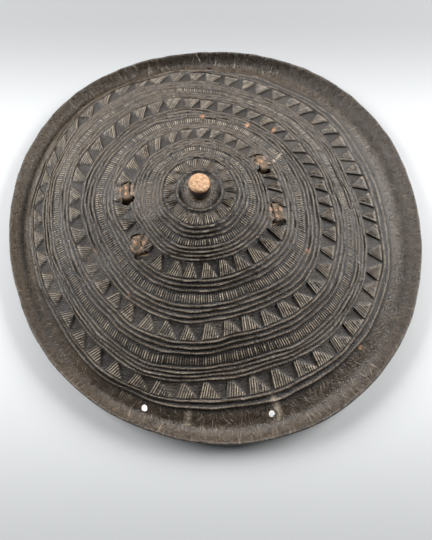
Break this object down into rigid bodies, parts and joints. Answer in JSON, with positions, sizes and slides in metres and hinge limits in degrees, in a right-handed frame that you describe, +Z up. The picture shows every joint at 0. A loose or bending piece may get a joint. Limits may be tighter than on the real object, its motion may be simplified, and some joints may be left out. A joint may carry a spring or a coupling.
{
  "type": "hide shield",
  "caption": "Round domed shield of tooled hide with a central knob, a turned-up edge, cord holes and a handle strap inside the hollow.",
  "frame": {"origin": "on the surface that the shield lies on, at the middle of its outline", "axes": "+Z up, out of the front of the shield; +Y away from the two lower cord holes; the handle runs 14 degrees round from +X towards +Y"},
  "size_m": [0.5192, 0.5264, 0.1136],
  "materials": {
    "tooled_hide": "dark brown-black patina with dusty, rubbed crests and a soft sheen",
    "strap_hide": "thick brown strap hide, polished by the hand at the grip",
    "thong_hide": "worn tan rawhide, dark in the folds"
  },
  "bodies": {
    "root": {"shield_body": "tooled_hide", "handle": "strap_hide", "thong_left_lower": "thong_hide", "thong_left_upper": "thong_hide", "thong_right_lower": "thong_hide", "thong_right_upper": "thong_hide"}
  },
  "joints": []
}
